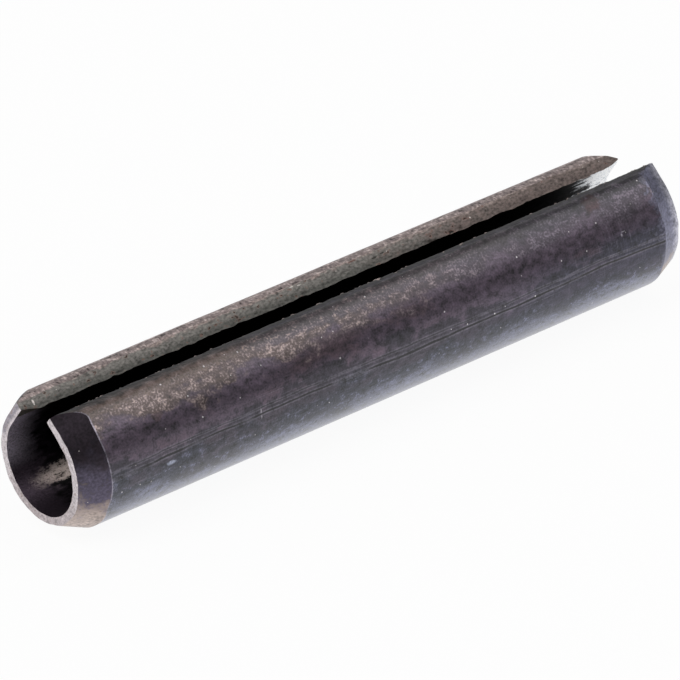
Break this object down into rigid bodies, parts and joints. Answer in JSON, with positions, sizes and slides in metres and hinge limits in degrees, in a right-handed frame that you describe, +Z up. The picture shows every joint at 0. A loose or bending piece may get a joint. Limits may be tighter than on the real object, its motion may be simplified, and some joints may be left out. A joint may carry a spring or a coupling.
{
  "type": "slotted spring pin",
  "caption": "Slotted spring pin rolled from one strip of spring steel, with an open lengthwise slot and a chamfer at each end, pressed into a drilled hole to hold parts together.",
  "frame": {"origin": "on the surface the pin lies on, below the middle of its length", "axes": "+X along the pin, +Z up through the middle of the slot"},
  "size_m": [0.055, 0.0104, 0.0096],
  "materials": {
    "blackened_spring_steel": "hardened and tempered spring steel with a thin black-oxide skin, oiled, satin; bare grey on the end faces and brown-grey on the sheared slot edges"
  },
  "bodies": {
    "root": {"spring_pin": "blackened_spring_steel"}
  },
  "joints": []
}
